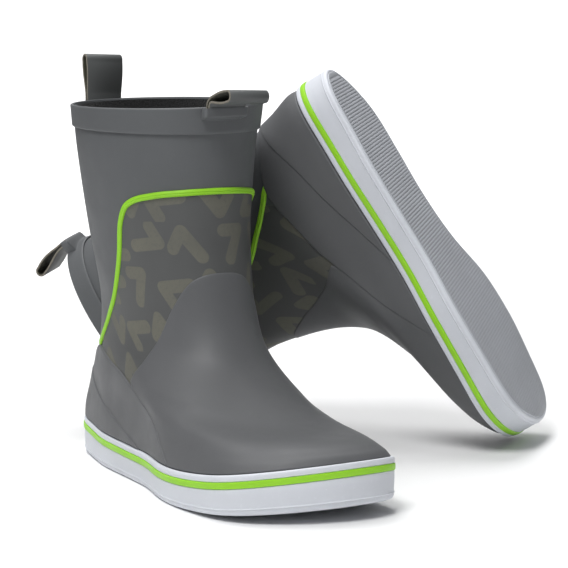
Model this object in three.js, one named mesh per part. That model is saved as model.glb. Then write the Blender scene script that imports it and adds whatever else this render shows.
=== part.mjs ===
// A pair of rubber deck boots: the right boot stands on its sole, and the left boot lies beside it,
// tipped over on its toe and the front of its shaft. Millimetres, +Z up.
//
// Boot frame: x runs from the heel to the toe, y points to the wearer's left, z is height.
// The right boot is modelled, and the left boot is its mirror image.
//
// Every surface is drawn over two parameters. "angle" goes round the boot from the middle of the heel
// over the outer side to the toe and back over the inner side, in degrees. "level" climbs the upper
// from the top of the sidewall (0) to the rim of the shaft (1).

import * as THREE from "three";

// ---- driving dimensions ----

const SOLE_BACK = -4; // the sidewall's outline at its widest, from heel to toe
const SOLE_FRONT = 305;
const HEEL_SEAT = 45; // the frame's origin lies this far from the heel, under the middle of the heel

// Half widths are given as the ellipse that would pass there: y = centre -+ sin(angle) * halfWidth.
const OUTLINE = {
  station: [0, 0.125, 0.25, 0.375, 0.5, 0.625, 0.75, 0.875, 1],
  outer: [62, 46, 44.5, 45, 47, 59, 71, 79, 94],
  inner: [62, 64, 48.5, 36, 39.5, 58, 65, 78, 94],
  centre: [-4.5, -6, -6, -4, -4, -2.5, 1, 1, 20],
};

// Height of the sidewall over the tread at the heel, waist and toe, and the rise of the toe.
const SIDEWALL = { heel: 28, waist: 23, toe: 27 };
const SPRING_START = 190;
const SPRING_RISE = 10;

// The rings that the upper is drawn through, from the sidewall to the rim. Each leans from its
// back point to its front point. "round" says how far it has turned from the sole's outline,
// scaled by "scale", into an ellipse of the half width.
const RINGS = {
  level: [0, 0.08, 0.2, 0.35, 0.5, 0.7, 0.85, 1],
  frontX: [303, 298.5, 284, 233, 178, 154, 156, 161],
  frontZ: [37, 42, 47, 52, 85, 152, 211.5, 248.8],
  backX: [-1.5, -2, 3, 7, 6, 3, 4, -1],
  backZ: [28, 38, 58, 89, 127, 177, 227.5, 258.8],
  halfWidth: [50, 50, 50, 49, 46, 52, 59, 62],
  centre: [0, 1, 4, 7, 8, 7, 5, 6],
  scale: [0.97, 0.95, 0.93, 0.96, 0.85, 0.85, 0.85, 0.85],
  round: [0, 0.1, 0.33, 0.74, 1, 1, 1, 1],
  lean: [0, 0, 0, 0, 0, 0.3, 1.6, 3.5], // the outer side hangs lower by this, and the inner side stands higher
};
const FLAT_FROM = 0.35; // above this level a ring no longer follows the sidewall's wavy top

// Upper edges of the laid-on pieces: level against the angle from the heel, the same on both sides.
const EDGES = {
  vamp: {
    angle: [60, 75, 90, 103, 120, 138, 156, 180, 204],
    level: [0.03, 0.22, 0.35, 0.42, 0.5, 0.59, 0.65, 0.667, 0.65],
  },
  heelCover: { angle: [-25, 0, 25, 50, 70, 85], level: [0.285, 0.27, 0.285, 0.355, 0.345, 0.33] },
  heelPatch: { angle: [-28, 0, 28, 46, 64, 73], level: [0.24, 0.26, 0.24, 0.185, 0.145, 0.1] },
  piping: {
    angle: [50, 62, 76, 89, 100, 106, 111, 118, 135, 158, 180, 202],
    level: [0.36, 0.42, 0.49, 0.557, 0.63, 0.68, 0.735, 0.77, 0.79, 0.8, 0.803, 0.8],
  },
};
const HEEL_COVER_FRONT = 85;
const HEEL_PATCH_FRONT = 73;
const CUFF_HEIGHT = 15;

// Depths below the outer skin, outer face first. A negative depth stands proud of the skin.
const DEPTH = {
  cover: [0, 0.7],
  panel: [0.4, 0.9],
  patch: [-1.4, -0.7],
  cuff: [-0.6, 1.1],
  leg: [2.2, 3],
  lining: [4.2, 5],
};
const EDGE_GAP = 0.01; // level left free between neighbouring pieces

const TREAD = 4.5; // thickness of the outsole
const BAND = 2.2; // thickness of the sidewall band
const STRIPE = { drop: 4.2, height: 4, stand: 0.9 };
const PIPING = { width: 4.2, height: 2.2 };

const LOOP = { width: 28, height: 38.5, depth: 10.5, strap: 1.7, stand: 0.6, sink: 5, tab: 9 };
const BACK_LOOP_OFFSET = 8; // from the middle of the heel towards the outer side
const LOOP_TILT = { rightFront: 68, rightBack: 0, leftFront: -23, leftBack: -15 }; // degrees outwards

// The left boot's frame in the right boot's frame. Its height follows from lying on the ground.
const LEFT_BOOT_PLACE = { x: 103, y: 132 };
const LEFT_BOOT_TURN = { z: 56.6, y: 57.6, x: -161 }; // degrees, in this order

const COLUMNS = 32; // steps round the boot

// ---- smooth curves and the skin ----

const clamp = (v, low, high) => Math.min(high, Math.max(low, v));
const mix = (a, b, t) => a + (b - a) * t;
const rad = THREE.MathUtils.degToRad;

// A smooth curve through the values at the given stations, level at neither end.
function curve(stations, values) {
  const last = stations.length - 1;
  const slope = values.map((_, i) => {
    const [a, b] = [Math.max(i - 1, 0), Math.min(i + 1, last)];
    return (values[b] - values[a]) / (stations[b] - stations[a]);
  });
  return (at) => {
    const x = clamp(at, stations[0], stations[last]);
    const i = clamp(stations.findIndex((s) => s > x) - 1, 0, last - 1);
    const k = x >= stations[last] ? last - 1 : i;
    const span = stations[k + 1] - stations[k];
    const t = (x - stations[k]) / span;
    const [t2, t3] = [t * t, t * t * t];
    return (
      (2 * t3 - 3 * t2 + 1) * values[k] +
      (t3 - 2 * t2 + t) * span * slope[k] +
      (3 * t2 - 2 * t3) * values[k + 1] +
      (t3 - t2) * span * slope[k + 1]
    );
  };
}

const outline = {
  outer: curve(OUTLINE.station, OUTLINE.outer),
  inner: curve(OUTLINE.station, OUTLINE.inner),
  centre: curve(OUTLINE.station, OUTLINE.centre),
};
const ringNames = Object.keys(RINGS).filter((key) => key !== "level");
const ring = Object.fromEntries(ringNames.map((key) => [key, curve(RINGS.level, RINGS[key])]));
const edge = Object.fromEntries(
  Object.entries(EDGES).map(([key, e]) => [key, curve(e.angle, e.level)]),
);
const fromHeel = (angle) => Math.min(angle, 360 - angle);

const station = (angle) => (1 - Math.cos(rad(angle))) / 2;
const springAt = (x) => {
  const run = clamp((x - SPRING_START) / (SOLE_FRONT - SPRING_START), 0, 1.05);
  return SPRING_RISE * run * run;
};
const wallAt = (u) =>
  SIDEWALL.heel * (1 - u) * (1 - 2 * u) + SIDEWALL.waist * 4 * u * (1 - u) + SIDEWALL.toe * u * (2 * u - 1);

// The sole's outline, moved inwards by "inset".
function outlinePoint(angle, inset) {
  const at = (a) => {
    const u = station(a);
    const half = Math.sin(rad(a)) >= 0 ? outline.outer(u) : outline.inner(u);
    return new THREE.Vector2(mix(SOLE_BACK, SOLE_FRONT, u), outline.centre(u) - Math.sin(rad(a)) * half);
  };
  const along = at(angle + 1).sub(at(angle - 1)).normalize();
  return at(angle).add(new THREE.Vector2(-along.y, along.x).multiplyScalar(inset));
}

// A point of the outer skin of the upper.
function skinPoint(angle, level) {
  const r = Object.fromEntries(ringNames.map((key) => [key, ring[key](level)]));
  const u = station(angle);
  const side = Math.sin(rad(angle));
  const soleHalf = (side >= 0 ? outline.outer(u) : outline.inner(u)) * r.scale;
  const x = mix(r.backX, r.frontX, u);
  const y = mix(outline.centre(u), r.centre, r.round) - side * mix(soleHalf, r.halfWidth, r.round);
  const wave = wallAt(u) + springAt(x) - mix(wallAt(0), wallAt(1) + SPRING_RISE, u);
  const z = mix(r.backZ, r.frontZ, u) + wave * clamp(1 - level / FLAT_FROM, 0, 1) - side * r.lean;
  return new THREE.Vector3(x, y, z);
}

// The same, moved inwards by "depth" along the skin's normal.
function skin(angle, level, depth) {
  const step = 0.004;
  const [low, high] = [clamp(level - step, 0, 1), clamp(level + step, 0, 1)];
  const up = skinPoint(angle, high).sub(skinPoint(angle, low));
  const along = skinPoint(angle + 1, level).sub(skinPoint(angle - 1, level));
  const inwards = up.cross(along).normalize();
  return skinPoint(angle, level).addScaledVector(inwards, depth);
}

// ---- closed solids from rings of points ----

// Joins rings of equally many points. An open run is capped across each end ring, from its first
// point with its last to the middle; a closed run returns to the first ring.
function loft(rings, closed = false) {
  const count = rings[0].length;
  const points = rings.flat();
  const faces = [];
  const quad = (a, b, c, d) => faces.push([a, b, c], [a, c, d]);
  for (let r = 0; r < rings.length - (closed ? 0 : 1); r++) {
    const next = (r + 1) % rings.length;
    for (let k = 0; k < count; k++) {
      const m = (k + 1) % count;
      quad(r * count + k, r * count + m, next * count + m, next * count + k);
    }
  }
  if (!closed) {
    const end = (rings.length - 1) * count;
    for (let j = 0; j < count / 2 - 1; j++) {
      quad(j, count - 1 - j, count - 2 - j, j + 1);
      quad(end + j, end + j + 1, end + count - 2 - j, end + count - 1 - j);
    }
  }
  const volume = faces.reduce((sum, [a, b, c]) => {
    return sum + points[a].dot(new THREE.Vector3().crossVectors(points[b], points[c]));
  }, 0);
  const facing = volume > 0 ? faces : faces.map(([a, b, c]) => [a, c, b]);
  const geometry = new THREE.BufferGeometry().setFromPoints(points);
  geometry.setIndex(facing.flat());
  geometry.computeVertexNormals();
  return geometry;
}

const steps = (count, from, to) => Array.from({ length: count + 1 }, (_, i) => mix(from, to, i / count));
const columnAngle = (i) => ((i + 0.5) * 360) / COLUMNS;
const roundAngles = Array.from({ length: COLUMNS }, (_, i) => columnAngle(i));

// The columns between two angles, with the angles themselves at the ends.
function columns(from, to) {
  const inner = Array.from({ length: 2 * COLUMNS }, (_, i) => columnAngle(i - COLUMNS));
  return [from, ...inner.filter((a) => a > from + 3 && a < to - 3), to];
}

// A wall of the upper between two depths, from the level low(angle) to high(angle).
function wall(angles, rows, low, high, [outerDepth, innerDepth], closed) {
  const section = (angle) => {
    const levels = rows.map((share) => mix(low(angle), high(angle), share));
    const outside = levels.map((level) => skin(angle, level, outerDepth));
    const inside = levels.map((level) => skin(angle, level, innerDepth));
    return [...outside, ...inside.reverse()];
  };
  return loft(angles.map(section), closed);
}

// A plate of the sole: a stack of outlines, each with an inset and a height over the tread.
function plate(layers) {
  const layer = ({ inset, height }) =>
    roundAngles.map((angle) => {
      const p = outlinePoint(angle, inset);
      return new THREE.Vector3(p.x, p.y, springAt(p.x) + height);
    });
  return loft(layers.map(layer));
}

// A band round the sole: a section of insets and heights swept along the outline.
function band(section) {
  const turn = (angle) =>
    section(wallAt(station(angle))).map(([inset, height]) => {
      const p = outlinePoint(angle, inset);
      return new THREE.Vector3(p.x, p.y, springAt(p.x) + height);
    });
  return loft(roundAngles.map(turn), true);
}

// ---- the pieces of one boot ----

const material = (color, roughness) => new THREE.MeshStandardMaterial({ color, roughness, metalness: 0 });
const finish = {
  upper: material(0x5c5e60, 0.5),
  overlay: material(0x626466, 0.5),
  print: material(0x55564f, 0.6),
  lime: material(0x8fd428, 0.45),
  sidewall: material(0xd3d7e0, 0.55),
  tread: material(0xa2a5ab, 0.6),
  foam: material(0x3b3c3e, 0.9),
  fabric: material(0x17181a, 0.95),
};

const outsole = () =>
  plate([
    { inset: 6, height: 0 },
    { inset: 3.6, height: 0.8 },
    { inset: 2.4, height: TREAD },
  ]);

const sidewall = () =>
  band((top) => [
    [2.7, TREAD + 0.4],
    [1, TREAD + 1.6],
    [0, TREAD + 6],
    [0, top - 2],
    [0.8, top],
    [BAND, top],
    [BAND, TREAD + 0.4],
  ]);

const stripe = () =>
  band((top) => {
    const upper = top - STRIPE.drop;
    const lower = upper - STRIPE.height;
    return [
      [-0.3, lower],
      [-STRIPE.stand, lower + 0.6],
      [-STRIPE.stand, upper - 0.6],
      [-0.3, upper],
    ];
  });

const midsole = () =>
  plate([
    { inset: 3.2, height: TREAD + 0.4 },
    { inset: 3.2, height: 12 },
  ]);

const insoleBoard = () =>
  plate([
    { inset: 9.2, height: 12.4 },
    { inset: 9.2, height: 14.4 },
  ]);

const footbed = () =>
  plate([
    { inset: 10.5, height: 14.8 },
    { inset: 9.8, height: 18.5 },
    { inset: 11.5, height: 19.4 },
  ]);

// The foot and the lining reach down behind the sidewall to the midsole, with a first row at "level" -1.
const BELOW = -1;
function sock(angles, depths, levels, closed) {
  const section = (angle) => {
    const point = (level, depth) => {
      const p = skin(angle, Math.max(level, 0), depth);
      if (level === BELOW) p.z = springAt(p.x) + 12.6;
      return p;
    };
    const outside = [BELOW, ...levels].map((level) => point(level, depths[0]));
    const inside = [BELOW, ...levels].map((level) => point(level, depths[1]));
    return [...outside, ...inside.reverse()];
  };
  return loft(angles.map(section), closed);
}
const FOOT_LEVELS = [0, 0.04, 0.08, 0.13, 0.19, 0.26, 0.34, 0.42];
const LEG_LEVELS = [0.49, 0.56, 0.64, 0.72, 0.85];
const FOOT_TOP = FOOT_LEVELS.at(-1);

const lining = () => sock(roundAngles, DEPTH.lining, [...FOOT_LEVELS, ...LEG_LEVELS, 0.99], true);

// Foot and leg are each two halves. Their seams run beside the middle of the heel and of the toe, on a
// column, where they lie flush with the pieces on top of them.
const SEAM_GAP = 0.2; // degrees
function halfColumns(outer) {
  const start = columnAngle(0) + (outer ? 0 : 180);
  return columns(start + SEAM_GAP, start + 180 - SEAM_GAP);
}
const foot = (outer) => sock(halfColumns(outer), DEPTH.leg, FOOT_LEVELS, false);

// The leg stands on the foot, with a hair's gap where they are joined.
function leg(outer) {
  const levels = [FOOT_TOP + EDGE_GAP / 4, ...LEG_LEVELS, 1];
  return wall(halfColumns(outer), levels, () => 0, () => 1, DEPTH.leg, false);
}

const rowShares = (count) => steps(count, 0, 1);
const vampEdge = (angle) => edge.vamp(fromHeel(angle));
const VAMP_BACK = HEEL_COVER_FRONT + 3;
const VAMP_ROWS = [0, 0.06, 0.12, 0.19, 0.28, 0.39, 0.51, 0.63, 0.75, 0.87, 1];
const vamp = () =>
  wall(columns(VAMP_BACK, 360 - VAMP_BACK), VAMP_ROWS, () => EDGE_GAP, vampEdge, DEPTH.cover, false);

function heelCover() {
  const angles = columns(-HEEL_COVER_FRONT, HEEL_COVER_FRONT);
  return wall(angles, rowShares(5), () => EDGE_GAP, (a) => edge.heelCover(Math.abs(a)), DEPTH.cover, false);
}

function heelPatch() {
  const angles = columns(-HEEL_PATCH_FRONT, HEEL_PATCH_FRONT);
  const top = (a) => edge.heelPatch(Math.abs(a)) - EDGE_GAP;
  return wall(angles, rowShares(4), () => EDGE_GAP, top, DEPTH.patch, false);
}

// The printed panel wraps the front of the shaft between the vamp and the piping.
function printedPanel() {
  const margin = 0.02;
  const bottom = (angle) => {
    const a = fromHeel(angle);
    return (a < VAMP_BACK ? edge.heelCover(a) : edge.vamp(a)) + EDGE_GAP;
  };
  const top = (angle) => Math.max(edge.piping(fromHeel(angle)) - margin, bottom(angle) + EDGE_GAP);
  return wall(columns(66, 294), rowShares(5), bottom, top, DEPTH.panel, false);
}

// A low strip laid along the panel's upper edge.
function piping() {
  const angles = steps(30, 52, 308);
  const path = angles.map((a) => skin(a, edge.piping(fromHeel(a)), 0));
  const rings = angles.map((a, i) => {
    const along = path[Math.min(i + 1, path.length - 1)].clone().sub(path[Math.max(i - 1, 0)]).normalize();
    const out = path[i].clone().sub(skin(a, edge.piping(fromHeel(a)), 1));
    const across = new THREE.Vector3().crossVectors(out, along).normalize();
    const at = (w, h) =>
      path[i].clone().addScaledVector(across, w * PIPING.width).addScaledVector(out, h * PIPING.height);
    return [at(-0.5, -0.45), at(-0.35, 0.35), at(0, 0.55), at(0.35, 0.35), at(0.5, -0.45), at(0, -0.5)];
  });
  return loft(rings);
}

const cuffLevel = 1 - CUFF_HEIGHT / 215;
const cuff = () => wall(roundAngles, [0, 1], () => cuffLevel, () => 1, DEPTH.cuff, true);

// The middle of the rim at the front or the back, on the outside of the cuff.
function rimSeat(front) {
  const seat = skin(front ? 180 : 0, 1, DEPTH.cuff[0] - LOOP.stand);
  if (!front) seat.y -= BACK_LOOP_OFFSET;
  return seat;
}

// A pull loop is a strap folded into a long eye. It turns about a line across its foot.
function loopHinge(front) {
  const seat = rimSeat(front);
  const out = (front ? 1 : -1) * (LOOP.depth / 2);
  return new THREE.Vector3(seat.x + out, seat.y, seat.z);
}

function pullLoop(front, tilt) {
  const hinge = loopHinge(front);
  const sign = front ? 1 : -1;
  const half = LOOP.depth / 2;
  const eye = (radius, angle) => {
    const straight = LOOP.height - LOOP.depth;
    const up = Math.sin(rad(angle)) > 0 ? straight : 0;
    return [Math.cos(rad(angle)) * radius, up + Math.sin(rad(angle)) * radius];
  };
  const turned = ([out, up], side) => {
    const t = rad(tilt);
    const x = out * Math.cos(t) + up * Math.sin(t);
    const z = up * Math.cos(t) - out * Math.sin(t);
    return new THREE.Vector3(hinge.x + sign * x, hinge.y + side * (LOOP.width / 2), hinge.z + z);
  };
  const section = (angle) => [
    turned(eye(half, angle), -1),
    turned(eye(half, angle), 1),
    turned(eye(half - LOOP.strap, angle), 1),
    turned(eye(half - LOOP.strap, angle), -1),
  ];
  const angles = Array.from({ length: 16 }, (_, i) => (i + 0.5) * 22.5);
  return loft(angles.map(section), true);
}

// The strap's end, bonded to the outside of the cuff below the loop.
function loopTab(front) {
  const seat = rimSeat(front);
  const sign = front ? 1 : -1;
  const box = (z) => {
    const corner = (x, y) => new THREE.Vector3(seat.x + sign * x, seat.y + (y * LOOP.width) / 2, seat.z + z);
    return [corner(0, -1), corner(LOOP.strap, -1), corner(LOOP.strap, 1), corner(0, 1)];
  };
  const top = -LOOP.sink - 1;
  return loft([box(top - LOOP.tab), box(top)]);
}

const PIECES = {
  outsole: [outsole, finish.tread],
  midsole: [midsole, finish.foam],
  insole_board: [insoleBoard, finish.foam],
  footbed: [footbed, finish.fabric],
  sidewall: [sidewall, finish.sidewall],
  stripe: [stripe, finish.lime],
  lining: [lining, finish.fabric],
  foot_outer: [() => foot(true), finish.upper],
  foot_inner: [() => foot(false), finish.upper],
  leg_outer: [() => leg(true), finish.upper],
  leg_inner: [() => leg(false), finish.upper],
  vamp: [vamp, finish.overlay],
  heel_cover: [heelCover, finish.overlay],
  heel_patch: [heelPatch, finish.overlay],
  printed_panel: [printedPanel, finish.print],
  piping: [piping, finish.lime],
  cuff: [cuff, finish.upper],
  front_tab: [() => loopTab(true), finish.upper],
  back_tab: [() => loopTab(false), finish.upper],
};

function makeBoot(side) {
  const boot = new THREE.Group();
  const add = (name, geometry, look) => {
    const mesh = new THREE.Mesh(geometry, look);
    mesh.name = `${side}_${name}`;
    boot.add(mesh);
  };
  for (const [name, [make, look]] of Object.entries(PIECES)) add(name, make(), look);
  add("front_loop", pullLoop(true, LOOP_TILT[`${side}Front`]), finish.upper);
  add("back_loop", pullLoop(false, LOOP_TILT[`${side}Back`]), finish.upper);
  return boot;
}

// ---- the pair ----

const rightBoot = makeBoot("right");
const leftBoot = makeBoot("left");
leftBoot.scale.y = -1;
const leftPlace = new THREE.Group();
leftPlace.add(leftBoot);
leftPlace.position.set(LEFT_BOOT_PLACE.x, LEFT_BOOT_PLACE.y, 0);
leftPlace.rotation.set(rad(LEFT_BOOT_TURN.x), rad(LEFT_BOOT_TURN.y), rad(LEFT_BOOT_TURN.z), "ZYX");
leftPlace.position.z = -new THREE.Box3().setFromObject(leftPlace, true).min.z;

const pair = new THREE.Group();
pair.add(rightBoot, leftPlace);
pair.position.x = -HEEL_SEAT;

const deckBoots = new THREE.Group();
deckBoots.add(pair);
export default deckBoots;
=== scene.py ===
"""A pair of rubber deck boots. The right boot stands, and the left boot lies behind it, tipped on its toe.

A boot is drawn in its own frame, in millimetres: x from heel to toe, y to the wearer's left, z up.
"angle" goes round it from the middle of the heel over the outer side to the toe, in degrees.
"level" climbs the upper from the top of the sidewall (0) to the rim (1).
"""

import math

import bpy
import numpy as np
from mathutils import Matrix, Vector


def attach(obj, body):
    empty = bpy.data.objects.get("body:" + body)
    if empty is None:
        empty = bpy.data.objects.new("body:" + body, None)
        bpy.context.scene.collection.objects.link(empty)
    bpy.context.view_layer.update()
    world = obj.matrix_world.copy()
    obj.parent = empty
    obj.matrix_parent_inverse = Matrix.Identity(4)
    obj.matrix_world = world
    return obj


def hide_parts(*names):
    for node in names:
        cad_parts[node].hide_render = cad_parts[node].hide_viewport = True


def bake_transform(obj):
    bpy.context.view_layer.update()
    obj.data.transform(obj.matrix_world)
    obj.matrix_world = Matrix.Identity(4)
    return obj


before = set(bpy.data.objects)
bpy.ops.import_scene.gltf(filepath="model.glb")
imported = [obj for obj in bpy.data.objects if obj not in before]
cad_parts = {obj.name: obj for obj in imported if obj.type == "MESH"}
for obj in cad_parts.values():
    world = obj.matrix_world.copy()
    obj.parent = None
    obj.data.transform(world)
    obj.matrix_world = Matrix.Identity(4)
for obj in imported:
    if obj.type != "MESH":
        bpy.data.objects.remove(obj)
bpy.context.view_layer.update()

# ---- the shape of one boot, as in the CAD part ----

SOLE_BACK, SOLE_FRONT = -4, 305
OUTLINE = {
    "station": [0, 0.125, 0.25, 0.375, 0.5, 0.625, 0.75, 0.875, 1],
    "outer": [62, 46, 44.5, 45, 47, 59, 71, 79, 94],
    "inner": [62, 64, 48.5, 36, 39.5, 58, 65, 78, 94],
    "centre": [-4.5, -6, -6, -4, -4, -2.5, 1, 1, 20],
}
WALL_HEEL, WALL_WAIST, WALL_TOE = 28, 23, 27
SPRING_START, SPRING_RISE = 190, 10  # where the toe's upward curve starts, and its height at the tip
SPRING_END = 1.05  # the share of that run at which it stops rising
RINGS = {
    "level": [0, 0.08, 0.2, 0.35, 0.5, 0.7, 0.85, 1],
    "front_x": [303, 298.5, 284, 233, 178, 154, 156, 161],
    "front_z": [37, 42, 47, 52, 85, 152, 211.5, 248.8],
    "back_x": [-1.5, -2, 3, 7, 6, 3, 4, -1],
    "back_z": [28, 38, 58, 89, 127, 177, 227.5, 258.8],
    "half_width": [50, 50, 50, 49, 46, 52, 59, 62],
    "centre": [0, 1, 4, 7, 8, 7, 5, 6],
    "scale": [0.97, 0.95, 0.93, 0.96, 0.85, 0.85, 0.85, 0.85],
    "round": [0, 0.1, 0.33, 0.74, 1, 1, 1, 1],
    "lean": [0, 0, 0, 0, 0, 0.3, 1.6, 3.5],  # the outer side hangs lower by this
}
FLAT_FROM = 0.35  # level from which the rings no longer follow the sole's waist

# Upper edges of the laid-on pieces: angle from the heel, and level there.
EDGES = {
    "vamp": (
        [60, 75, 90, 103, 120, 138, 156, 180, 204],
        [0.03, 0.22, 0.35, 0.42, 0.5, 0.59, 0.65, 0.667, 0.65],
    ),
    "heel_cover": (
        [-25, 0, 25, 50, 70, 84, 94, 102, 108],
        [0.285, 0.27, 0.285, 0.355, 0.345, 0.32, 0.235, 0.12, 0.012],
    ),
    "heel_patch": (
        [-28, 0, 28, 46, 62, 76, 85],
        [0.24, 0.26, 0.24, 0.195, 0.145, 0.075, 0.012],
    ),
    "piping": (
        [44, 50, 62, 76, 89, 100, 106, 111, 118, 135, 158, 180, 202],
        [0.33, 0.36, 0.42, 0.49, 0.557, 0.63, 0.68, 0.735, 0.77, 0.79, 0.8, 0.803, 0.8],
    ),
}

# The first and the last angle of each laid-on piece.
REACH = {
    "vamp": (86.5, 273.5),
    "heel_cover": (-108, 108),
    "heel_patch": (-85, 85),
    "printed_panel": (57, 303),
    "piping": (46, 314),
}
LOWEST_LEVEL = 0.004  # where the laid-on pieces start
PANEL_MEETS_VAMP = 88  # the panel's lower edge follows the heel cover up to this angle, then the vamp
PANEL_TUCK = 0.004  # how far the panel's edges lie below its neighbours' edges
PANEL_LEAST = 0.012  # the least height of the panel, as a level

HEEL_SEAT = 45  # the right boot's x at the frame's origin
LEFT_BOOT_AT = (58, 132, 277.72)
LEFT_BOOT_TURN = (56.6, 57.6, -161)  # degrees about Z, then Y, then X

# Depths below the outer skin in millimetres: a negative depth stands proud.
BODY_DEPTH = 1.0
OVERLAY_DEPTH = 0.0
PANEL_DEPTH = 0.62
COVER_DEPTH = -0.5
PATCH_DEPTH = -1.2
CUFF_DEPTH = -0.75
SHELL_THICKNESS = 1.9
LINING_DEPTH = 3.1
LINING_THICKNESS = 1.2
CUFF_LEVEL = 0.927  # the cuff's lower edge
TREAD = 4.3  # thickness of the outsole

ROUND_STEPS = 264  # columns round the boot
ANGLE_STEP, LEVEL_STEP = 1, 0.004  # for taking slopes

# ---- curves and the skin ----


def curve(stations, values):
    """A smooth curve through the values, whose slope at each station looks to its neighbours."""
    s, v = np.array(stations, float), np.array(values, float)
    before, after = np.maximum(np.arange(len(s)) - 1, 0), np.minimum(np.arange(len(s)) + 1, len(s) - 1)
    slope = (v[after] - v[before]) / (s[after] - s[before])

    def at(x):
        x = np.clip(np.asarray(x, float), s[0], s[-1])
        k = np.clip(np.searchsorted(s, x, side="right") - 1, 0, len(s) - 2)
        span = s[k + 1] - s[k]
        t = (x - s[k]) / span
        value = (2 * t**3 - 3 * t**2 + 1) * v[k] + (3 * t**2 - 2 * t**3) * v[k + 1]
        return value + span * ((t**3 - 2 * t**2 + t) * slope[k] + (t**3 - t**2) * slope[k + 1])

    return at


outline = {key: curve(OUTLINE["station"], OUTLINE[key]) for key in ("outer", "inner", "centre")}
ring = {key: curve(RINGS["level"], RINGS[key]) for key in RINGS if key != "level"}
edge = {key: curve(*points) for key, points in EDGES.items()}


def mix(a, b, t):
    """From a to b as t goes from 0 to 1."""
    return a + (b - a) * t


def from_heel(angle):
    """How far an angle lies from the middle of the heel, either way round."""
    angle = np.mod(angle, 360)
    return np.minimum(angle, 360 - angle)


def station(angle):
    """How far along the sole an angle lies: 0 at the heel, 1 at the toe."""
    return (1 - np.cos(np.radians(angle))) / 2


def spring_at(x):
    """How far the sole is lifted at x."""
    return SPRING_RISE * np.clip((x - SPRING_START) / (SOLE_FRONT - SPRING_START), 0, SPRING_END) ** 2


def wall_at(u):
    """The sidewall's height: one curve through its heights at the heel, the waist and the toe."""
    return WALL_HEEL * (1 - u) * (1 - 2 * u) + WALL_WAIST * 4 * u * (1 - u) + WALL_TOE * u * (2 * u - 1)


def sole_half(angle):
    """The sole's half width, on the outer or the inner side."""
    u = station(angle)
    return np.where(np.sin(np.radians(angle)) >= 0, outline["outer"](u), outline["inner"](u))


def outline_point(angle, inset=0.0):
    """x and y of the sole's outline, moved inwards by inset."""

    def at(a):
        u = station(a)
        y = outline["centre"](u) - np.sin(np.radians(a)) * sole_half(a)
        return np.stack([mix(SOLE_BACK, SOLE_FRONT, u), y], -1)

    along = at(angle + ANGLE_STEP) - at(angle - ANGLE_STEP)
    along /= np.linalg.norm(along, axis=-1, keepdims=True)
    inwards = np.stack([-along[..., 1], along[..., 0]], -1)
    return at(angle) + inwards * np.asarray(inset, float)[..., None]


def skin_point(angle, level):
    """A point of the outer skin."""
    r = {key: at(level) for key, at in ring.items()}
    u = station(angle)
    x = mix(r["back_x"], r["front_x"], u)
    half = mix(sole_half(angle) * r["scale"], r["half_width"], r["round"])
    y = mix(outline["centre"](u), r["centre"], r["round"]) - np.sin(np.radians(angle)) * half
    wave = wall_at(u) + spring_at(x) - mix(WALL_HEEL, WALL_TOE + SPRING_RISE, u)
    z = mix(r["back_z"], r["front_z"], u) + wave * np.clip(1 - level / FLAT_FROM, 0, 1)
    z = z - np.sin(np.radians(angle)) * r["lean"]
    return np.stack(np.broadcast_arrays(x, y, z), -1)


def skin(angle, level, depth=0.0):
    """A point of the outer skin, moved inwards by depth along the skin's normal."""
    angle, level, depth = np.broadcast_arrays(*(np.asarray(v, float) for v in (angle, level, depth)))
    above, below = np.clip(level + LEVEL_STEP, 0, 1), np.clip(level - LEVEL_STEP, 0, 1)
    up = skin_point(angle, above) - skin_point(angle, below)
    along = skin_point(angle + ANGLE_STEP, level) - skin_point(angle - ANGLE_STEP, level)
    normal = np.cross(up, along)
    normal /= np.linalg.norm(normal, axis=-1, keepdims=True)
    return skin_point(angle, level) + normal * depth[..., None]


# ---- meshes ----


def boot_matrix(side):
    """From boot millimetres to the frame's metres. The left boot is the mirror image of the right."""
    if side == "right":
        place = Matrix.Translation((-HEEL_SEAT, 0, 0))
    else:
        z, y, x = (math.radians(a) for a in LEFT_BOOT_TURN)
        turn = Matrix.Rotation(z, 4, "Z") @ Matrix.Rotation(y, 4, "Y") @ Matrix.Rotation(x, 4, "X")
        place = Matrix.Translation(LEFT_BOOT_AT) @ turn @ Matrix.Diagonal((1, -1, 1, 1))
    return Matrix.Scale(0.001, 4) @ place


def loft_faces(count, size, closed):
    """Faces that join count rings of size points, with ladder caps on an open run."""
    faces = []
    for r in range(count if closed else count - 1):
        s = (r + 1) % count
        for k in range(size):
            m = (k + 1) % size
            faces.append((r * size + k, r * size + m, s * size + m, s * size + k))
    if not closed:
        end = (count - 1) * size
        for j in range(size // 2 - 1):
            faces.append((j, size - 1 - j, size - 2 - j, j + 1))
            faces.append((end + j, end + j + 1, end + size - 2 - j, end + size - 1 - j))
    return faces


def signed_volume(points, faces):
    """Six times the volume inside four-sided faces, negative if they face inwards."""
    p = points[np.array(faces)]
    first = np.einsum("ij,ij->i", p[:, 0], np.cross(p[:, 1], p[:, 2]))
    second = np.einsum("ij,ij->i", p[:, 0], np.cross(p[:, 2], p[:, 3]))
    return (first + second).sum()


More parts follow.
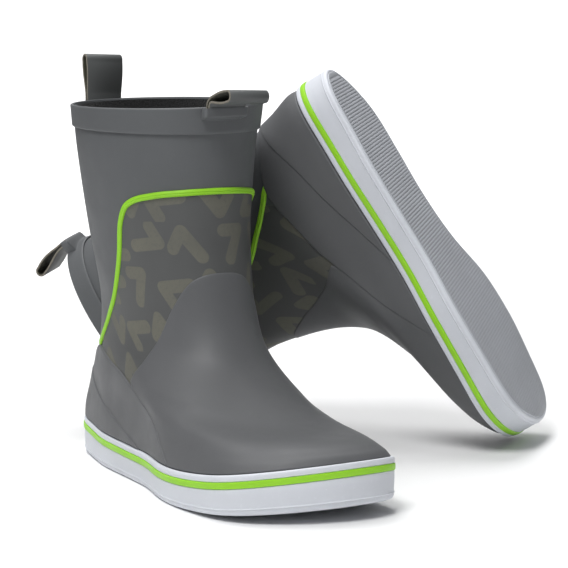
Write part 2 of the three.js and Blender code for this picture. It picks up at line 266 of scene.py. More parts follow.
def make_piece(side, name, rings, material, closed=True, uv=None, sharp=35, body="boot", stands_for=None):
    """A closed mesh from rings of points. It rides on the boot's body only when body is "boot"."""
    rings = np.asarray(rings, float)
    count, size = rings.shape[:2]
    points = rings.reshape(-1, 3)
    matrix = np.array(boot_matrix(side))
    world = points @ matrix[:3, :3].T + matrix[:3, 3]
    faces = loft_faces(count, size, closed)
    if signed_volume(world, faces) < 0:
        faces = [face[::-1] for face in faces]
    mesh = bpy.data.meshes.new(f"{side}_{name}")
    mesh.from_pydata(world.tolist(), [], faces)
    if uv is not None:
        flat = np.asarray(uv, float).reshape(-1, 2)
        layer = mesh.uv_layers.new(name="surface_mm")
        loops = np.empty(len(mesh.loops), int)
        mesh.loops.foreach_get("vertex_index", loops)
        layer.data.foreach_set("uv", flat[loops].ravel())
    mesh.shade_smooth()
    mesh.set_sharp_from_angle(angle=math.radians(sharp))
    mesh.materials.append(material)
    obj = bpy.data.objects.new(f"{side}_{name}_look", mesh)
    bpy.context.scene.collection.objects.link(obj)
    if body == "boot":
        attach(obj, f"{side}_boot")
    nodes = [f"{side}_{node}" for node in (stands_for or [name])]
    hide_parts(*nodes)
    return obj


# ---- materials ----


class Look:
    """A procedural material: a Principled shader with its graph built by short calls."""

    def __init__(self, name, roughness=0.5, **sockets):
        self.material = bpy.data.materials.new(name)
        self.material.use_nodes = True
        self.tree = self.material.node_tree
        self.shader = self.tree.nodes["Principled BSDF"]
        self.shader.inputs["Roughness"].default_value = roughness
        for key, value in sockets.items():
            self.shader.inputs[key.replace("_", " ").title().replace("Ior", "IOR")].default_value = value
        self.place = self.add("ShaderNodeTexCoord").outputs["Object"]

    def add(self, kind, inputs=None, **settings):
        node = self.tree.nodes.new(kind)
        for key, value in settings.items():
            setattr(node, key, value)
        for key, value in (inputs or {}).items():
            if isinstance(value, bpy.types.NodeSocket):
                self.tree.links.new(value, node.inputs[key])
            else:
                node.inputs[key].default_value = value
        return node

    def link(self, value, socket):
        self.tree.links.new(value, self.shader.inputs[socket])

    def math(self, operation, a, b=0.0, clamp=False):
        node = self.add("ShaderNodeMath", {0: a, 1: b}, operation=operation, use_clamp=clamp)
        return node.outputs[0]

    def noise(self, scale, detail=3.0, roughness=0.5, place=None):
        node = self.add("ShaderNodeTexNoise", {"Scale": scale, "Detail": detail, "Roughness": roughness})
        self.tree.links.new(place or self.place, node.inputs["Vector"])
        return node.outputs["Fac"]

    def span(self, value, low, high, to_low=0.0, to_high=1.0):
        """value mapped from low..high to to_low..to_high, with its ends held."""
        keys = {"Value": value, "From Min": low, "From Max": high, "To Min": to_low, "To Max": to_high}
        return self.add("ShaderNodeMapRange", keys).outputs["Result"]

    def blend(self, share, a, b):
        """The colour from a to b at a share. The node's colour sockets are its inputs 6 and 7."""
        node = self.add("ShaderNodeMix", data_type="RGBA")
        for socket, value in ((node.inputs[0], share), (node.inputs[6], a), (node.inputs[7], b)):
            if isinstance(value, bpy.types.NodeSocket):
                self.tree.links.new(value, socket)
            else:
                socket.default_value = value
        return node.outputs[2]

    def bump(self, height, distance, strength=1.0, before=None):
        keys = {"Height": height, "Distance": distance, "Strength": strength}
        if before:
            keys["Normal"] = before
        return self.add("ShaderNodeBump", keys).outputs["Normal"]

    def finish(self, color, roughness=None, normal=None):
        self.link(color, "Base Color")
        if roughness:
            self.link(roughness, "Roughness")
        if normal:
            self.link(normal, "Normal")
        return self.material


def srgb(r, g, b):
    """A colour given as the eye sees it, 0 to 255, as linear light."""

    def linear(c):
        return ((c / 255 + 0.055) / 1.055) ** 2.4 if c > 10 else c / 255 / 12.92

    return (linear(r), linear(g), linear(b), 1.0)


def worn_and_highlit_edges(look, color, lighter, share=0.5):
    """Lightens the sharp edges: partly wear, where rubber rubs pale, and partly a painted highlight along
    the edges.
    """
    flat, sharp = 0.508, 0.56
    pointiness = look.add("ShaderNodeNewGeometry").outputs["Pointiness"]
    edge_share = look.span(pointiness, flat, sharp, 0.0, share)
    return look.blend(edge_share, color, lighter)


def rubber(name, tone, roughness, grain=0.00004, mottle=0.5, edge_wear_and_highlight=0.35):
    """Moulded or dipped rubber: cloudy tone, fine matt grain, dust, and faint pale edges that are partly
    wear and partly a painted highlight.
    """
    cloud_scale, dust_scale, smear_scale, grain_scale, dent_scale = 22, 340, 60, 2600, 150  # per metre
    dent_depth = 0.00022
    look = Look(name, specular_ior_level=0.3)
    base, dark, pale = (srgb(*(c * f for c in tone)) for f in (1.0, 0.93, 1.22))
    cloud = look.span(look.noise(cloud_scale, 4), 0.35, 0.68)
    color = look.blend(look.math("MULTIPLY", cloud, mottle), base, dark)
    dust = look.span(look.noise(dust_scale, 5, 0.65), 0.6, 0.78, 0, 0.16)
    color = look.blend(dust, color, pale)
    # pale sharp edges: partly wear, partly a painted highlight along the edges
    color = worn_and_highlit_edges(look, color, pale, edge_wear_and_highlight)
    fine = look.noise(grain_scale, 3, 0.6)
    smear = look.span(look.noise(smear_scale, 4), 0.3, 0.7, roughness - 0.045, roughness + 0.06)
    normal = look.bump(fine, grain, 0.55)
    normal = look.bump(look.noise(dent_scale, 2), dent_depth, 0.25, normal)
    return look.finish(color, smear, normal)


def print_material():
    """The ankle panel: bent bars printed tone on tone, one to a cell and each turned its own way."""
    look = Look("printed_panel_rubber", specular_ior_level=0.4)
    uv = look.add("ShaderNodeUVMap", uv_map="surface_mm").outputs["UV"]
    cell_x, cell_y, bar, soft_edge = 31.0, 29.0, 4.1, 0.45
    bend, long_end, short_end = (4.5, 8.5, 0), (-4.0, -10.5, 0), (-8.5, 8.5, 0)
    ground, shade, worn_and_highlit_tone = srgb(84, 85, 85), srgb(78, 79, 79), srgb(120, 121, 120)
    ink = srgb(105, 104, 94)

    def from_middle(value, index, size):
        """How far a coordinate lies from the middle of its cell."""
        in_cell = look.math("SUBTRACT", value, look.math("MULTIPLY", index, size))
        return look.math("SUBTRACT", in_cell, size / 2)

    split = look.add("ShaderNodeSeparateXYZ", {0: uv})
    row = look.math("FLOOR", look.math("DIVIDE", split.outputs["Y"], cell_y))
    shift = look.math("MULTIPLY", look.math("MODULO", row, 2.0), cell_x / 2)
    x = look.math("ADD", split.outputs["X"], shift)
    column = look.math("FLOOR", look.math("DIVIDE", x, cell_x))
    seed = look.add("ShaderNodeCombineXYZ", {"X": column, "Y": row}).outputs[0]
    local_x, local_y = from_middle(x, column, cell_x), from_middle(split.outputs["Y"], row, cell_y)
    local = look.add("ShaderNodeCombineXYZ", {"X": local_x, "Y": local_y}).outputs[0]

    chance = look.add("ShaderNodeTexWhiteNoise", {"Vector": seed}, noise_dimensions="2D").outputs["Value"]
    sixth = look.math("FLOOR", look.math("MULTIPLY", chance, 6.0))
    turn = look.math("MULTIPLY", sixth, math.pi / 3)
    rotate = look.add("ShaderNodeVectorRotate", {"Vector": local, "Angle": turn}, rotation_type="Z_AXIS")
    turned = rotate.outputs[0]

    def vector(operation, a, b, output=0):
        return look.add("ShaderNodeVectorMath", {0: a, 1: b}, operation=operation).outputs[output]

    def from_segment(start, end):
        """Distance in millimetres from a straight bar's middle line."""
        along = tuple(e - s for s, e in zip(start, end))
        offset = vector("SUBTRACT", turned, start)
        length_squared = sum(a * a for a in along)
        share = look.math("DIVIDE", vector("DOT_PRODUCT", offset, along, "Value"), length_squared, True)
        scaled = look.add("ShaderNodeVectorMath", {0: along, "Scale": share}, operation="SCALE").outputs[0]
        return vector("DISTANCE", offset, scaled, "Value")

    near = look.math("MINIMUM", from_segment(bend, long_end), from_segment(bend, short_end))
    motif = look.span(near, bar, bar + soft_edge, 1, 0)
    worn = look.span(look.noise(420, 4, 0.7), 0.34, 0.5, 0.7, 1.0)
    share = look.math("MULTIPLY", motif, worn)
    color = look.blend(share, ground, ink)
    cloud = look.span(look.noise(24, 4), 0.35, 0.7, 0, 0.4)
    color = look.blend(cloud, color, shade)
    # pale sharp edges on the print: partly wear, partly a painted highlight along the edges
    color = worn_and_highlit_edges(look, color, worn_and_highlit_tone, 0.3)
    normal = look.bump(look.noise(2600, 3, 0.6), 0.00004, 0.5)
    normal = look.bump(motif, 0.00006, 0.8, normal)
    roughness = look.span(motif, 0, 1, 0.5, 0.62)
    return look.finish(color, roughness, normal)


def knit_material():
    """Black knitted lining: rows of small stitches with a little lint."""
    look = Look("black_knit", 0.95, sheen_weight=0.25, sheen_roughness=0.5)
    stretch = look.add("ShaderNodeMapping", {"Vector": look.place, "Scale": (1, 1, 1.4)}).outputs[0]
    cells = look.add("ShaderNodeTexVoronoi", {"Vector": stretch, "Scale": 900.0})
    stitch = look.span(cells.outputs["Distance"], 0.1, 0.7, 1, 0)
    color = look.blend(stitch, srgb(9, 9, 10), srgb(30, 30, 32))
    lint = look.span(look.noise(700, 4, 0.7), 0.66, 0.74, 0, 0.35)
    color = look.blend(lint, color, srgb(70, 70, 72))
    return look.finish(color, None, look.bump(stitch, 0.0004, 0.8))


def foam_material():
    """Dark insole foam board with open pores."""
    look = Look("insole_foam", 0.9)
    cells = look.add("ShaderNodeTexVoronoi", {"Vector": look.place, "Scale": 1300.0})
    pore = look.span(cells.outputs["Distance"], 0.12, 0.42)
    color = look.blend(pore, srgb(30, 31, 32), srgb(62, 63, 65))
    return look.finish(color, None, look.bump(pore, 0.0002, 0.6))


def strap_side_material():
    """The cut edge of a pull strap: beige cloth core with short fibres."""
    look = Look("strap_cut_edge", 0.85)
    fibre = look.noise(1500, 5, 0.7)
    color = look.blend(look.span(fibre, 0.3, 0.72), srgb(96, 92, 84), srgb(148, 142, 130))
    return look.finish(color, None, look.bump(fibre, 0.0002, 0.6))


def strap_inner_material():
    """The inside face of a pull strap: dark olive cloth."""
    look = Look("strap_inner_cloth", 0.9, sheen_weight=0.2)
    weave = look.add("ShaderNodeTexBrick", {"Vector": look.place, "Scale": 700.0, "Mortar Size": 0.04})
    thread = look.noise(1800, 3)
    color = look.blend(look.span(thread, 0.3, 0.7), srgb(38, 38, 26), srgb(62, 62, 44))
    return look.finish(color, None, look.bump(weave.outputs["Fac"], 0.0002, 0.5))


def floor_material():
    """Pale matt studio paper."""
    look = Look("studio_paper", 0.8, specular_ior_level=0.1)
    color = look.blend(look.span(look.noise(3), 0.3, 0.7), srgb(246, 246, 247), srgb(250, 250, 250))
    return look.finish(color, None, look.bump(look.noise(900, 2), 0.00005, 0.2))


UPPER = rubber("upper_grey_rubber", (93, 95, 97), 0.52)
OVERLAY = rubber("overlay_grey_rubber", (97, 98, 100), 0.5)
STRAP = rubber("strap_grey_rubber", (84, 86, 86), 0.5)
LIME = rubber("lime_rubber", (150, 213, 48), 0.42, mottle=0.3, edge_wear_and_highlight=0.15)
SIDEWALL = rubber("pale_sidewall_rubber", (211, 214, 221), 0.5, mottle=0.35, edge_wear_and_highlight=0.3)
TREAD_RUBBER = rubber("tread_grey_rubber", (182, 185, 191), 0.55, grain=0.00006, edge_wear_and_highlight=0.4)
PRINT = print_material()
KNIT = knit_material()
FOAM = foam_material()
STRAP_SIDE = strap_side_material()
STRAP_INNER = strap_inner_material()

# ---- the upper ----

ROUND_ANGLES = (np.arange(ROUND_STEPS) + 0.5) * 360 / ROUND_STEPS
BORDER = np.array([0, 0.06, 0.22, 0.48, 0.8, 1.15])  # rows laid close together along an edge, in mm
BORDER_ROUND = 1.15  # radius of a laid-on piece's edge, in mm


def edge_rise(distance):
    """How far a rounded edge has risen, 0 to 1, at a distance in from it."""
    t = 1 - np.clip(distance / BORDER_ROUND, 0, 1)
    return np.sqrt(1 - t * t)


def surface_uv(angles, levels):
    """Millimetres round the shaft and up it, for the print."""
    girth_level = 0.6
    turn = np.arange(0, 361.0)
    run = np.linalg.norm(np.diff(skin_point(turn, girth_level), axis=0), axis=-1)
    girth = np.concatenate([[0], np.cumsum(run)])
    return np.stack([np.interp(np.mod(angles, 360), turn, girth), skin_point(angles, levels)[..., 2]], -1)


def edge_levels(name, angles):
    """The levels of a laid-on piece's lower and upper edges."""
    a = from_heel(angles)
    if name != "printed_panel":
        return np.full(a.shape, LOWEST_LEVEL), edge[name](a)
    low = np.where(a < PANEL_MEETS_VAMP, edge["heel_cover"](a), edge["vamp"](a)) - PANEL_TUCK
    return low, np.maximum(edge["piping"](a) - PANEL_TUCK, low + PANEL_LEAST)


def overlay(side, name, depth, material, columns, rows, uv=False):
    """A piece laid on the boot between two angles and two edges, with rounded borders all round."""
    first, last = REACH[name]
    mm_per_degree = 1.15
    sunk, thickness = 0.25, 0.5
    close = BORDER / mm_per_degree
    middle = np.linspace(first + close[-1], last - close[-1], columns)[1:-1]
    angles = np.concatenate([first + close, middle, last - close[::-1]])
    lows, highs = edge_levels(name, angles)
    length = np.linalg.norm(skin_point(angles, highs) - skin_point(angles, lows), axis=-1)
    length = np.maximum(length, 4 * BORDER_ROUND)
    near = BORDER[:, None] / length
    inner = np.linspace(near[-1], 1 - near[-1], rows)[1:-1]
    share = np.concatenate([near, inner, 1 - near[::-1]])
    levels = mix(lows, highs, share)
    from_ends = np.minimum(angles - first, last - angles) * mm_per_degree
    from_edges = np.minimum(share, 1 - share) * length
    rise = np.minimum(edge_rise(from_edges), edge_rise(from_ends))
    under = BODY_DEPTH + sunk
    outside = skin(angles, levels, mix(under, depth, rise))
    inside = skin(angles, levels, under + thickness)
    rings = np.concatenate([outside, inside[::-1]]).transpose(1, 0, 2)
    mapped = None
    if uv:
        flat = surface_uv(np.broadcast_to(angles, levels.shape), levels)
        mapped = np.concatenate([flat, flat[::-1]]).transpose(1, 0, 2)
    return make_piece(side, name, rings, material, closed=False, uv=mapped)


def shell(side, name, depth, thickness, span, rows, material, stands_for=None):
    """A thin closed wall all round the boot, from the tuck behind the sidewall to the top."""
    tuck = 9
    levels = np.linspace(*span, rows)
    outside = skin(ROUND_ANGLES[:, None], levels, depth)
    inside = skin(ROUND_ANGLES[:, None], levels, depth + thickness)
    foot_out, foot_in = outside[:, :1].copy(), inside[:, :1].copy()
    foot_out[..., 2] -= tuck
    foot_in[..., 2] -= tuck
    rings = np.concatenate([foot_out, outside, inside[:, ::-1], foot_in], axis=1)
    return make_piece(side, name, rings, material, stands_for=stands_for)


def make_upper(side):
    """The upper and its lining, and the pieces laid over them."""
    parts = ["foot_outer", "foot_inner", "leg_outer", "leg_inner"]
    shell(side, "leg", BODY_DEPTH, SHELL_THICKNESS, (0, 0.998), 170, UPPER, parts)
    shell(side, "lining", LINING_DEPTH, LINING_THICKNESS, (0.012, 0.995), 90, KNIT)
    overlay(side, "vamp", OVERLAY_DEPTH, OVERLAY, 170, 64)
    overlay(side, "heel_cover", COVER_DEPTH, OVERLAY, 200, 40)
    overlay(side, "heel_patch", PATCH_DEPTH, OVERLAY, 130, 30)
    overlay(side, "printed_panel", PANEL_DEPTH, PRINT, 200, 60, uv=True)


def make_piping(side):
    """A lime cord in a raised seam: two rounded ribs with a fine groove between them."""
    first, last = REACH["piping"]
    front_from, front_to, front_gap = 150, 210, 0.5
    half, height, below, fullness = 2.15, 2.0, -0.5, 0.7
    groove_depth, groove_width = 0.2, 0.13
    sink_depth, sink_run = 2.4, 6  # at each end, in millimetres and in degrees

    rear = np.linspace(first, front_from, 180)
    front = np.linspace(front_from + front_gap, front_to - front_gap, 60)
    angles = np.concatenate([rear, front, np.linspace(front_to, last, 180)])
    level = edge["piping"](from_heel(angles))
    centre = skin(angles, level, BODY_DEPTH)
    out = skin(angles, level, BODY_DEPTH - 1) - centre
    along = np.gradient(centre, axis=0)
    along /= np.linalg.norm(along, axis=-1, keepdims=True)
    across = np.cross(out, along)
    from_end = np.minimum(angles - angles[0], angles[-1] - angles)
    sink = sink_depth * (1 - np.clip(from_end / sink_run, 0, 1)) ** 2
    centre = centre - out * sink[:, None]

    section = []
    for t in np.linspace(0, 180, 25):
        w = math.cos(math.radians(t))
        rib = math.sin(math.radians(t)) ** fullness
        groove = groove_depth * math.exp(-((w / groove_width) ** 2))
        section.append((w * half, height * rib * (1 - groove)))
    section += [(-half * f, below) for f in np.linspace(1, -1, 25)]
    rings = [centre + across * w + out * h for w, h in section]
    make_piece(side, "piping", np.array(rings).transpose(1, 0, 2), LIME, closed=False)


def make_cuff(side):
    """The band round the top of the shaft, rolled over the rim to the inside."""
    # Level above the cuff's lower edge, and depth.
    hem = [(0.004, 1.2), (0.0035, 0.75), (0, 0.1), (0, -0.3), (0.0015, -0.62), (0.0035, CUFF_DEPTH)]
    face_start, face_end, face_top = CUFF_LEVEL + 0.012, 0.988, 0.994
    roll_middle, roll_half, roll_height = 0.45, 1.25, 1.1
    # Level and depth.
    inner_hem = [(0.996, 1.72), (0.992, 1.6), (0.991, 1.4), (0.994, 1.25)]

    profile = [(CUFF_LEVEL + rise, depth, 0) for rise, depth in hem]
    profile += [(level, CUFF_DEPTH, 0) for level in np.linspace(face_start, face_end, 12)]
    profile.append((face_top, CUFF_DEPTH, 0))
    for t in range(180, -1, -15):
        a = math.radians(t)
        profile.append((1.0, roll_middle + roll_half * math.cos(a), roll_height * math.sin(a)))
    profile += [(level, depth, 0) for level, depth in inner_hem]
    points = []
    for level, depth, lift in profile:
        p = skin(ROUND_ANGLES, level, depth)
        p[:, 2] += lift
        points.append(p)
    make_piece(side, "cuff", np.array(points).transpose(1, 0, 2), UPPER)


# ---- the sole ----


def sole_ring(inset, height):
    """A ring of points round the sole, at a height above its underside."""
    p = outline_point(ROUND_ANGLES, inset)
    return np.column_stack([p, spring_at(p[:, 0]) + height])


def sole_band(section):
    """Sweeps a section of (inset, height) round the sole. The section gets the wall's height there."""
    top = wall_at(station(ROUND_ANGLES))
    return np.array([sole_ring(inset, height) for inset, height in section(top)]).transpose(1, 0, 2)


def make_sidewall(side):
    """The pale rubber wall, with a bead at the top, a fine rib low down and a rounded lower lip."""

    def section(top):
        lip = [(3.6, 0.9), (3.0, 0.5), (2.2, 0.45), (1.35, 0.8), (0.75, 1.5), (0.5, 2.4), (0.42, 3.4)]
        rib = [(0.36, 3.75), (0.05, 3.95), (-0.12, 4.25), (0.0, 4.6), (0.3, 4.9), (0.36, 5.8)]
        wall = [(0.22, 9), (0.1, 11), (0.0, 13)]
        recess = [(0.0, top - 9.2), (0.02, top - 8.7), (0.5, top - 8.4), (0.5, top - 4.1), (0.02, top - 3.8)]
        bead = [(-0.05, top - 3.3), (-0.08, top - 2.0), (0.0, top - 1.0)]
        crown = [(0.3, top - 0.35), (0.8, top), (1.5, top + 0.05)]
        back = [(2.3, top - 0.2), (2.6, top - 3), (2.6, 5), (3.6, 3)]
        return lip + rib + wall + recess + bead + crown + back

    make_piece(side, "sidewall", sole_band(section), SIDEWALL)


def make_stripe(side):
    """The lime strip let into the sidewall."""
    below_top = 8.35

    def section(top):
        face = [(0.35, 0.0), (-0.15, 0.05), (-0.5, 0.3), (-0.62, 0.8), (-0.66, 2.1), (-0.62, 3.4)]
        face += [(-0.5, 3.9), (-0.15, 4.15), (0.35, 4.2), (0.7, 4.0), (0.7, 0.2)]
        return [(inset, top - below_top + height) for inset, height in face]

    make_piece(side, "stripe", sole_band(section), LIME)


def make_outsole(side):
    """The tread: fine wavy sipes cut across it, inside a frame groove and a plain border."""
    inset, clearance, row_step = 3.0, 0.02, 0.4
    end_run = 6  # the rows lie closer together near each end
    pitch, groove_depth, wave, wave_length = 2.4, 0.4, 0.12, 13
    border, border_fade = 3.0, 0.8
    frame_at, frame_width, frame_depth = 2.6, 0.45, 0.5
    corner_rise = 1.2

    dense = np.linspace(0, 180, 721)
    outer, inner = outline_point(dense, inset), outline_point(-dense, inset)
    low = max(outer[0, 0], inner[0, 0]) + clearance
    high = min(outer[-1, 0], inner[-1, 0]) - clearance
    ends = end_run * (1 - np.cos(np.linspace(0, math.pi, 15) / 2))
    rows = np.arange(low + ends[-1] + row_step, high - ends[-1], row_step)
    x = np.concatenate([low + ends, rows, high - ends[::-1]])
    y_low = np.interp(x, outer[:, 0], outer[:, 1])[:, None]
    y_high = np.interp(x, inner[:, 0], inner[:, 1])[:, None]
    across = np.linspace(-1, 1, 45)
    share = (np.sin(across * math.pi / 2) * 0.35 + across * 0.65) / 2 + 0.5
    y = mix(y_low, y_high, share)
    from_sides = np.minimum(y - y_low, y_high - y)
    from_ends = np.minimum(x - low, high - x)[:, None]
    distance = np.minimum(from_sides, 0.5 * from_ends)

    phase = (x[:, None] + wave * np.sin(y * 2 * math.pi / wave_length)) / pitch
    cut = np.clip(1.6 * np.cos(2 * math.pi * phase) - 0.75, 0, 0.7) / 0.7
    field = np.clip((distance - border) / border_fade, 0, 1)
    rounded = corner_rise * (1 - edge_rise(np.clip(distance, 0, None)))
    frame_groove = frame_depth * np.exp(-(((distance - frame_at) / frame_width) ** 2))
    height = rounded + groove_depth * cut * field + frame_groove
    ground = spring_at(x)[:, None]
    bottom = np.stack([np.broadcast_to(x[:, None], y.shape), y, ground + height], -1)
    top = bottom.copy()
    top[..., 2] = ground + TREAD
    rings = np.concatenate([bottom, top[:, ::-1]], axis=1)
    make_piece(side, "outsole", rings, TREAD_RUBBER, closed=False, sharp=50)


def make_insoles(side):
    """What lies inside on the sole: midsole, board, and a footbed with a soft cupped edge."""

    def plate(name, layers, material):
        make_piece(side, name, [sole_ring(*layer) for layer in layers], material, closed=False)

    plate("midsole", [(4.2, 4.6), (3.4, 5.2), (3.4, 11.4), (4.0, 12.2)], FOAM)
    plate("insole_board", [(9.6, 12.5), (9.2, 12.8), (9.2, 14.2), (9.8, 14.5)], FOAM)
    bed = [(10.4, 14.8), (9.4, 16.0), (8.6, 19.5), (8.8, 21.6), (9.6, 22.3), (10.6, 21.8), (12.5, 20.1)]
    plate("footbed", bed + [(16, 19.0), (22, 18.6), (32, 18.5)], KNIT)


# ---- pull loops ----

STRAP_THICKNESS = 1.5
STRAP_LENGTH = 34  # from the rim to the outside of the fold
STRAP_FOOT = 5  # the length below the rim
STRAP_GAP = 0.62  # half the gap between the strap's two layers at the rim
STRAP_FOLD = 3.4  # radius of the fold, to the middle of the strap
STRAP_WIDTH = (27.6, 29.6)  # at the rim and at the fold
BACK_LOOP_OFFSET = 8  # from the middle of the heel towards the outer side
# Tilt away from the boot at the rim and at the fold, in degrees, and the length over which it bends.
STRAP_BENDS = {
    ("right", "front"): (8, 86, 11),
    ("right", "back"): (-2, 2, 20),
    ("left", "front"): (-8, -24, 20),
    ("left", "back"): (-6, -22, 26),
}
# The strap's slot on each face of its eight-sided section: 0 rubber, 1 cut edge, 2 inner cloth.
STRAP_FACES = (0, 1, 1, 1, 2, 1, 1, 1)


def rim_seat(end):
    """The middle of a loop's place on the rim, and which way is out."""
    seat = skin(180.0 if end == "front" else 0.0, 1.0, CUFF_DEPTH)
    if end == "front":
        return seat, 1
    seat[1] -= BACK_LOOP_OFFSET
    return seat, -1


def strap_path(bend):
    """The strap's middle line as (out, up) points: up one side, round the fold and down the other."""
    start_tilt, end_tilt, run = bend
    opens_from, open_before_fold, opens_power = 5, 2, 1.4
    s = np.linspace(-STRAP_FOOT, STRAP_LENGTH - STRAP_FOLD - STRAP_THICKNESS / 2, 60)
    t = np.clip((s + 1) / run, 0, 1)
    tilt = np.radians(mix(start_tilt, end_tilt, t * t * (3 - 2 * t)) * np.clip(1 + s / STRAP_FOOT, 0, 1))
    step = s[1] - s[0]
    out = np.cumsum(np.sin(tilt)) * step
    up = np.cumsum(np.cos(tilt)) * step
    out -= np.interp(0, s, out)
    up -= np.interp(0, s, up)
    opens_along = s[-1] - (opens_from + open_before_fold)
    spread = np.clip((s - opens_from) / opens_along, 0, 1) ** opens_power
    half_gap = mix(STRAP_GAP + STRAP_THICKNESS / 2, STRAP_FOLD, spread * (3 - 2 * spread))
    normal = np.stack([np.cos(tilt), -np.sin(tilt)], -1)
    middle = np.stack([out, up], -1)
    near, far = middle - normal * half_gap[:, None], middle + normal * half_gap[:, None]
    ahead = np.array([math.sin(tilt[-1]), math.cos(tilt[-1])])
    fold = []
    for a in np.radians(np.linspace(-90, 90, 19)[1:-1]):
        fold.append(middle[-1] + normal[-1] * math.sin(a) * STRAP_FOLD + ahead * math.cos(a) * STRAP_FOLD)
    length = np.concatenate([s, np.full(len(fold), s[-1]), s[::-1]])
    return np.concatenate([near, fold, far[::-1]]), length


def paint_strap(obj):
    """Gives the cut edges and the inner face their own materials. Ring faces come in a fixed order."""
    sides = len(STRAP_FACES)
    along = len(obj.data.vertices) - sides
    for index in range(along):
        obj.data.polygons[index].material_index = STRAP_FACES[index % sides]


def make_loop(side, end):
    """A rubber-faced strap folded into an eye: grey outside, olive cloth inside, beige at its cut edges."""
    seat, sign = rim_seat(end)
    path, along = strap_path(STRAP_BENDS[side, end])
    tangent = np.gradient(path, axis=0)
    tangent /= np.linalg.norm(tangent, axis=-1, keepdims=True)
    outward = np.stack([-tangent[:, 1], tangent[:, 0]], -1)
    corner = 0.35
    half_thick = STRAP_THICKNESS / 2
    foot_out = STRAP_GAP + STRAP_THICKNESS
    rings = []
    for p, n, s in zip(path, outward, along):
        half_width = mix(*STRAP_WIDTH, np.clip(s / STRAP_LENGTH, 0, 1)) / 2
        flat, steep = half_width - corner, half_thick - corner
        section = [(-flat, half_thick), (flat, half_thick), (half_width, steep), (half_width, -steep)]
        section += [(flat, -half_thick), (-flat, -half_thick), (-half_width, -steep), (-half_width, steep)]
        ring_points = []
        for w, h in section:
            out, up = p + n * h
            ring_points.append((seat[0] + sign * (out + foot_out), seat[1] + w, seat[2] + up))
        rings.append(ring_points)
    obj = make_piece(side, f"{end}_loop", rings, STRAP, closed=False, sharp=60, body="pull")
    obj.data.materials.append(STRAP_SIDE)
    obj.data.materials.append(STRAP_INNER)
    paint_strap(obj)
    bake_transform(obj)


def make_tab(side, end):
    """The swelling of rubber that covers the strap's ends on the outside of the cuff."""
    seat, _ = rim_seat(end)
    low, high, swell, side_fade, low_fade = -8.8, 1.0, 5.3, 2.0, 4.6
    outer_sunk, inner_sunk = 0.25, 0.9
    half_width = STRAP_WIDTH[0] / 2 + 1.5
    turn = np.linspace(-40, 40, 161) + (180 if end == "front" else 0)
    middle = turn[len(turn) // 2]
    across_mm = skin(turn, 1.0, CUFF_DEPTH)[:, 1] - seat[1]
    order = np.argsort(across_mm)
    level_step = 0.02
    mm_per_level = np.linalg.norm(skin(middle, 1.0) - skin(middle, 1 - level_step)) / level_step
    rings = []
    for y in np.linspace(-half_width, half_width, 57):
        angle = np.interp(y, across_mm[order], turn[order])
        fade_y = np.clip((half_width - abs(y)) / side_fade, 0, 1)
        reach = abs(seat[0] - skin(angle, 1.0, CUFF_DEPTH)[0])
        outside, inside = [], []
        for height in np.linspace(low, high, 33):
            fade_z = np.clip((height - low) / low_fade, 0, 1)
            lift = (swell + reach) * math.sqrt(1 - (1 - fade_y) ** 2) * fade_z**2 * (3 - 2 * fade_z)
            level = 1 + min(height, 0) / mm_per_level
            p = skin(angle, level, CUFF_DEPTH + outer_sunk - lift)
            p[2] += max(height, 0)
            outside.append(p)
            inside.append(skin(angle, level, CUFF_DEPTH + inner_sunk))
        rings.append(outside + inside[::-1])
    make_piece(side, f"{end}_tab", rings, UPPER, closed=False, sharp=70)


def make_boot(side):
    """All pieces of one boot."""
    make_upper(side)
    make_piping(side)
    make_cuff(side)
    make_sidewall(side)
    make_stripe(side)
    make_outsole(side)
    make_insoles(side)
    for end in ("front", "back"):
        make_tab(side, end)
        make_loop(side, end)


# ---- camera, floor and lights ----

CAMERA_AT = Vector((0.9970, -0.5022, 0.2240))
CAMERA_AIM = Vector((0.0275, 0.1076, 0.1208))
CAMERA_ROLL = -0.42  # degrees
VIEW_ANGLE = 20.94
BOOTS_AT = Vector((0.02, 0.08, 0))


def level_directions():
    """The camera's directions to the right and ahead, along the floor."""
    view = CAMERA_AIM - CAMERA_AT
    ahead = Vector((view.x, view.y, 0)).normalized()
    return Vector((ahead.y, -ahead.x, 0)), ahead


def make_camera():
    data = bpy.data.cameras.new("camera")
    data.angle = math.radians(VIEW_ANGLE)
    camera = bpy.data.objects.new("camera", data)
    turn = (CAMERA_AIM - CAMERA_AT).to_track_quat("-Z", "Y").to_matrix().to_4x4()
    roll = Matrix.Rotation(math.radians(CAMERA_ROLL), 4, "Z")
    camera.matrix_world = Matrix.Translation(CAMERA_AT) @ turn @ roll
    bpy.context.scene.collection.objects.link(camera)
    bpy.context.scene.camera = camera


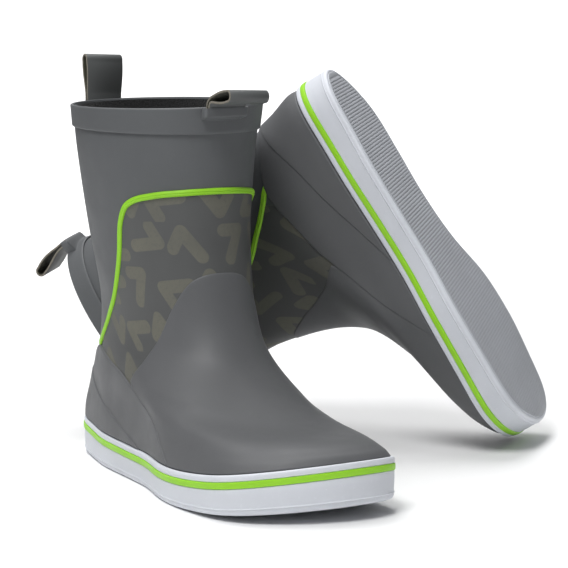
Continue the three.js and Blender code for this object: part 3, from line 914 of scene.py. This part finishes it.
def make_floor():
    """A sheet of studio paper that curves up behind the boots."""
    front, back, rise, radius, half_width = -2.6, 4.6, 3.2, 1.8, 1.3
    columns = 12
    right, ahead = level_directions()
    profile = [(d, 0.0) for d in np.linspace(front, back - radius, 12)]
    for t in range(6, 91, 6):
        a = math.radians(t)
        profile.append((back - radius + radius * math.sin(a), radius - radius * math.cos(a)))
    profile += [(back, h) for h in np.linspace(radius + 0.2, rise, 6)]
    points = []
    for d, h in profile:
        for w in np.linspace(-half_width, half_width, columns):
            points.append(ahead * d + right * w + Vector((0, 0, h)))
    faces = []
    for i in range(len(profile) - 1):
        for j in range(columns - 1):
            k = i * columns + j
            faces.append((k, k + 1, k + columns + 1, k + columns))
    mesh = bpy.data.meshes.new("studio_floor")
    mesh.from_pydata([p[:] for p in points], [], faces)
    mesh.shade_smooth()
    mesh.materials.append(floor_material())
    floor = bpy.data.objects.new("studio_floor", mesh)
    bpy.context.scene.collection.objects.link(floor)


def area_light(name, right, ahead, up, size, watts, aim_ahead=0.0):
    """A soft disk placed from the boots in the camera's directions, in metres, and aimed at or past them."""
    aim_up = 0.1
    to_right, to_ahead = level_directions()
    aim = BOOTS_AT + to_ahead * aim_ahead + Vector((0, 0, aim_up))
    data = bpy.data.lights.new(name, "AREA")
    data.shape = "DISK"
    data.size = size
    data.energy = watts
    light = bpy.data.objects.new(name, data)
    light.location = BOOTS_AT + to_right * right + to_ahead * ahead + Vector((0, 0, up))
    light.rotation_euler = (aim - light.location).to_track_quat("-Z", "Y").to_euler()
    bpy.context.scene.collection.objects.link(light)


def make_lights():
    world = bpy.data.worlds.new("studio")
    bpy.context.scene.world = world
    world.use_nodes = True
    background = world.node_tree.nodes["Background"]
    background.inputs["Color"].default_value = (0.98, 0.99, 1, 1)
    background.inputs["Strength"].default_value = 0.15
    area_light("key", right=-0.5, ahead=-1.1, up=1.8, size=0.9, watts=29)
    area_light("top", right=-0.3, ahead=0.4, up=2.0, size=1.4, watts=27)
    area_light("backdrop", right=0, ahead=2.4, up=2.2, size=1.6, watts=75, aim_ahead=3.9)
    bpy.context.scene.view_settings.view_transform = "Standard"


make_camera()
for boot_side in ("right", "left"):
    make_boot(boot_side)
make_floor()
make_lights()
